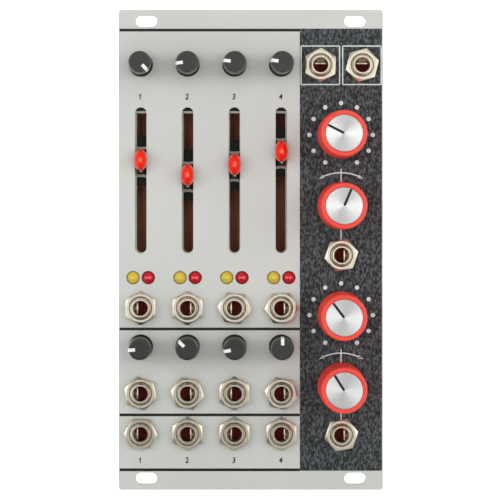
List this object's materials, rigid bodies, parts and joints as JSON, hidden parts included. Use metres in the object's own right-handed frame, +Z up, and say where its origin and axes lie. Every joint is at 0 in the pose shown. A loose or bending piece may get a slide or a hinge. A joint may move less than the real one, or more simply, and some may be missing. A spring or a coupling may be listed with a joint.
{
  "type": "eurorack module",
  "caption": "14 HP rack module for a modular synthesizer: a stereo mixer with lit faders, small and large knobs, jacks and indicator LEDs on a light grey panel.",
  "frame": {"origin": "panel's rear face, in the middle of its width, on the lower mounting slots' centre line", "axes": "+Z up the panel, +Y from the panel's front to its rear, +X to the right seen from the front"},
  "size_m": [0.0708, 0.0505, 0.1285],
  "materials": {
    "panel_paint": "satin light grey paint",
    "circuit_board": "black solder mask",
    "black_plastic": "matt black moulding",
    "dark_knob": "matt dark grey moulding",
    "red_knob": "satin red moulding",
    "turned_aluminium": "turned",
    "steel_sheet": "plated",
    "red_lens": "glossy translucent",
    "nickel": "nickel plated",
    "brass_spacer": "plated",
    "yellow_led": "glossy",
    "red_led": "glossy"
  },
  "bodies": {
    "module": {"front_panel": "panel_paint", "control_board": "circuit_board", "main_board": "circuit_board", "power_header": "black_plastic", "spacer_1": "brass_spacer", "spacer_2": "brass_spacer", "spacer_3": "brass_spacer", "spacer_4": "brass_spacer", "fader_frame_1": "steel_sheet", "fader_frame_2": "steel_sheet", "fader_frame_3": "steel_sheet", "fader_frame_4": "steel_sheet", "level_cv_jack_1": "nickel", "level_cv_jack_2": "nickel", "level_cv_jack_3": "nickel", "level_cv_jack_4": "nickel", "pan_cv_jack_1": "nickel", "pan_cv_jack_2": "nickel", "pan_cv_jack_3": "nickel", "pan_cv_jack_4": "nickel", "input_jack_1": "nickel", "input_jack_2": "nickel", "input_jack_3": "nickel", "input_jack_4": "nickel", "left_output_jack": "nickel", "right_output_jack": "nickel", "width_cv_jack": "nickel", "center_cv_jack": "nickel", "signal_led_1": "yellow_led", "signal_led_2": "yellow_led", "signal_led_3": "yellow_led", "signal_led_4": "yellow_led", "peak_led_1": "red_led", "peak_led_2": "red_led", "peak_led_3": "red_led", "peak_led_4": "red_led"},
    "gain_1": {"gain_knob_1": "dark_knob"},
    "gain_2": {"gain_knob_2": "dark_knob"},
    "gain_3": {"gain_knob_3": "dark_knob"},
    "gain_4": {"gain_knob_4": "dark_knob"},
    "pan_1": {"pan_knob_1": "dark_knob"},
    "pan_2": {"pan_knob_2": "dark_knob"},
    "pan_3": {"pan_knob_3": "dark_knob"},
    "pan_4": {"pan_knob_4": "dark_knob"},
    "width": {"width_knob": "red_knob", "width_cap": "turned_aluminium"},
    "width_cv": {"width_cv_knob": "red_knob", "width_cv_cap": "turned_aluminium"},
    "center": {"center_knob": "red_knob", "center_cap": "turned_aluminium"},
    "center_cv": {"center_cv_knob": "red_knob", "center_cv_cap": "turned_aluminium"},
    "fader_1": {"fader_carriage_1": "black_plastic", "fader_lens_1": "red_lens"},
    "fader_2": {"fader_carriage_2": "black_plastic", "fader_lens_2": "red_lens"},
    "fader_3": {"fader_carriage_3": "black_plastic", "fader_lens_3": "red_lens"},
    "fader_4": {"fader_carriage_4": "black_plastic", "fader_lens_4": "red_lens"}
  },
  "joints": [
    {"name": "gain_1_turn", "type": "hinge", "parent": "module", "child": "gain_1", "pos_m": [-0.02945, 0, 0.11085], "axis": [0, 1, 0], "range_deg": [-287, 13]},
    {"name": "gain_2_turn", "type": "hinge", "parent": "module", "child": "gain_2", "pos_m": [-0.01691, 0, 0.11085], "axis": [0, 1, 0], "range_deg": [-52, 248]},
    {"name": "gain_3_turn", "type": "hinge", "parent": "module", "child": "gain_3", "pos_m": [-0.00437, 0, 0.11085], "axis": [0, 1, 0], "range_deg": [-67, 233]},
    {"name": "gain_4_turn", "type": "hinge", "parent": "module", "child": "gain_4", "pos_m": [0.00817, 0, 0.11085], "axis": [0, 1, 0], "range_deg": [-68, 232]},
    {"name": "pan_1_turn", "type": "hinge", "parent": "module", "child": "pan_1", "pos_m": [-0.02945, 0, 0.03532], "axis": [0, 1, 0], "range_deg": [-56, 244]},
    {"name": "pan_2_turn", "type": "hinge", "parent": "module", "child": "pan_2", "pos_m": [-0.01691, 0, 0.03532], "axis": [0, 1, 0], "range_deg": [-104, 196]},
    {"name": "pan_3_turn", "type": "hinge", "parent": "module", "child": "pan_3", "pos_m": [-0.00437, 0, 0.03532], "axis": [0, 1, 0], "range_deg": [-49, 251]},
    {"name": "pan_4_turn", "type": "hinge", "parent": "module", "child": "pan_4", "pos_m": [0.00817, 0, 0.03532], "axis": [0, 1, 0], "range_deg": [-150, 150]},
    {"name": "width_turn", "type": "hinge", "parent": "module", "child": "width", "pos_m": [0.02418, 0, 0.092], "axis": [0, 1, 0], "range_deg": [-87, 213]},
    {"name": "width_cv_turn", "type": "hinge", "parent": "module", "child": "width_cv", "pos_m": [0.02418, 0, 0.07302], "axis": [0, 1, 0], "range_deg": [-173, 127]},
    {"name": "center_turn", "type": "hinge", "parent": "module", "child": "center", "pos_m": [0.02418, 0, 0.04375], "axis": [0, 1, 0], "range_deg": [-113, 187]},
    {"name": "center_cv_turn", "type": "hinge", "parent": "module", "child": "center_cv", "pos_m": [0.02418, 0, 0.02475], "axis": [0, 1, 0], "range_deg": [-118, 182]},
    {"name": "fader_1_slide", "type": "slide", "parent": "module", "child": "fader_1", "axis": [0, 0, 1], "range_m": [-0.0204, 0.0096]},
    {"name": "fader_2_slide", "type": "slide", "parent": "module", "child": "fader_2", "axis": [0, 0, 1], "range_m": [-0.0164, 0.0136]},
    {"name": "fader_3_slide", "type": "slide", "parent": "module", "child": "fader_3", "axis": [0, 0, 1], "range_m": [-0.0192, 0.0108]},
    {"name": "fader_4_slide", "type": "slide", "parent": "module", "child": "fader_4", "axis": [0, 0, 1], "range_m": [-0.0227, 0.0073]}
  ]
}
